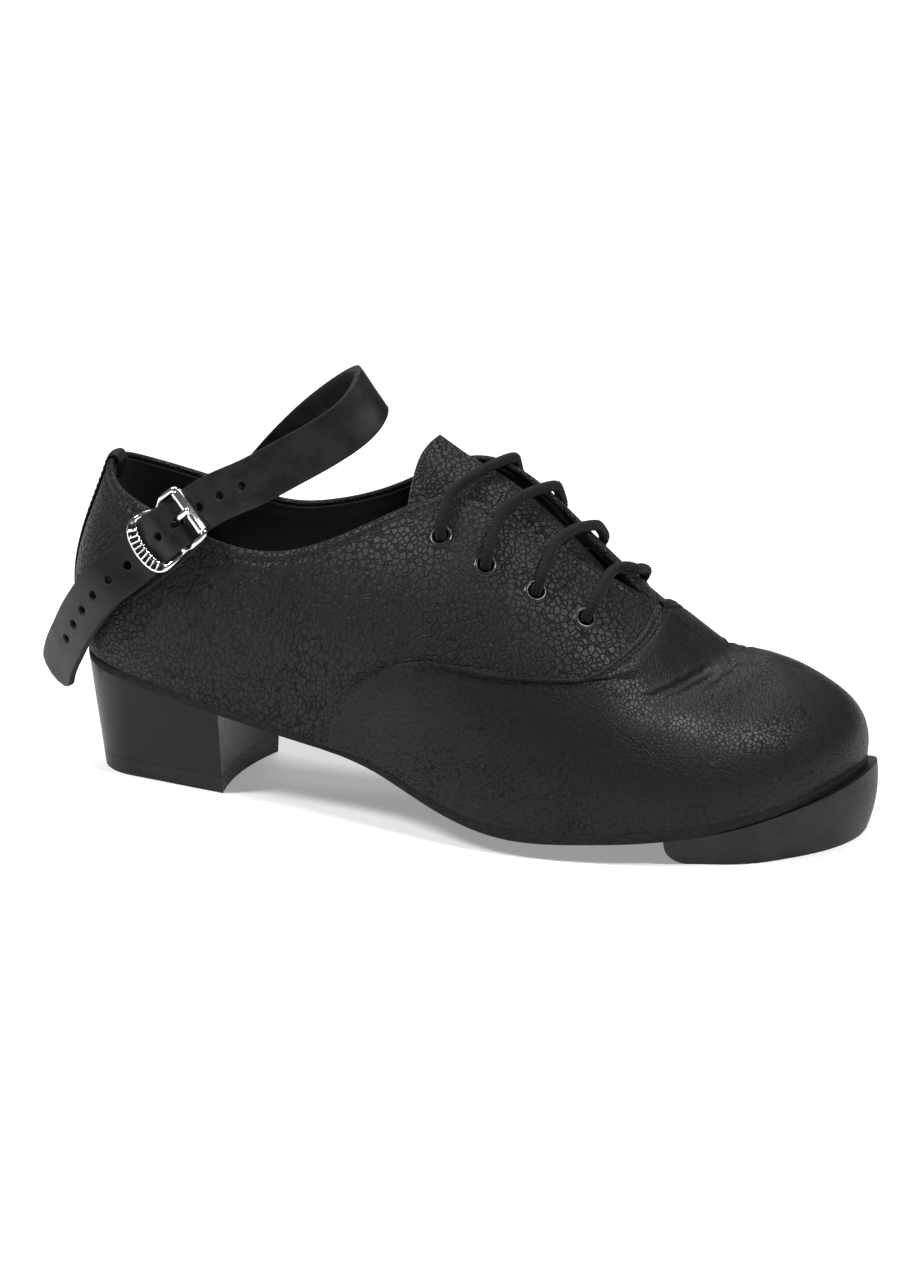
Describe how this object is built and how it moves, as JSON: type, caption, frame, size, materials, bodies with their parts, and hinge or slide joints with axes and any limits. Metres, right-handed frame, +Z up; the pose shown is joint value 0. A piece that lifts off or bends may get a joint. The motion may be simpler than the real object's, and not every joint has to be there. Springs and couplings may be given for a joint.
{
  "type": "tap shoe",
  "caption": "Low black lace-up dance shoe with a thick toe tip, glossy block heel and a punched ankle strap that loops over the instep through a roller buckle.",
  "frame": {"origin": "centre of the heel on the ground, at the heel tip's walking face", "axes": "+X towards the toe, +Y towards the inner side of the foot, +Z up"},
  "size_m": [0.2776, 0.0969, 0.1431],
  "materials": {
    "sole_leather": "matt, cut edge",
    "insole_board": "plain board",
    "lining_suede": "suede nap",
    "spring_steel": "bright",
    "cork": "granular cork",
    "upper_leather": "grained, soft sheen",
    "heel_tip_rubber": "semi matt",
    "heel_gloss": "polished",
    "toe_fibreglass": "matt moulded",
    "tongue_leather": "coarse grain, raw edge",
    "eyelet_enamel": "gloss black",
    "lace_cotton": "round braid",
    "strap_leather": "smooth, cut edge",
    "buckle_chrome": "polished"
  },
  "bodies": {
    "shoe": {"outsole": "sole_leather", "insole": "insole_board", "sock_liner": "lining_suede", "shank": "spring_steel", "cork_filler": "cork", "lasting_edge": "upper_leather", "heel_tip": "heel_tip_rubber", "heel_block": "heel_gloss", "heel_nails": "spring_steel", "toe_tip": "toe_fibreglass", "toe_tip_screws": "spring_steel", "vamp": "upper_leather", "lateral_quarter": "upper_leather", "medial_quarter": "upper_leather", "back_strip": "upper_leather", "quarter_lining": "lining_suede", "vamp_lining": "lining_suede", "toe_puff": "insole_board", "heel_counter": "insole_board", "lateral_eyelet_stay": "insole_board", "medial_eyelet_stay": "insole_board", "lateral_eyelets": "eyelet_enamel", "medial_eyelets": "eyelet_enamel", "lace": "lace_cotton", "ankle_strap": "strap_leather", "buckle_chape": "strap_leather"},
    "tongue_flap": {"tongue": "tongue_leather"},
    "buckle": {"buckle_frame": "buckle_chrome"},
    "roller": {"buckle_roller": "buckle_chrome"},
    "prong": {"buckle_prong": "buckle_chrome"}
  },
  "joints": [
    {"name": "tongue_flex", "type": "hinge", "parent": "shoe", "child": "tongue_flap", "pos_m": [0.158, 0, 0.07], "axis": [0, 1, 0], "range_deg": [-6, 0], "stiffness_Nm_per_rad": 0.4},
    {"name": "buckle_hinge", "type": "hinge", "parent": "shoe", "child": "buckle", "pos_m": [0.01233, -0.02975, 0.08997], "axis": [0.676, -0.1686, -0.7174], "range_deg": [-3, 3]},
    {"name": "prong_hinge", "type": "hinge", "parent": "buckle", "child": "prong", "pos_m": [0.01233, -0.02975, 0.08997], "axis": [0.676, -0.1686, -0.7174], "range_deg": [0, 5]},
    {"name": "roller_spin", "type": "hinge", "parent": "buckle", "child": "roller", "pos_m": [0.01994, -0.03187, 0.09764], "axis": [0.676, -0.1686, -0.7174], "continuous": true}
  ]
}
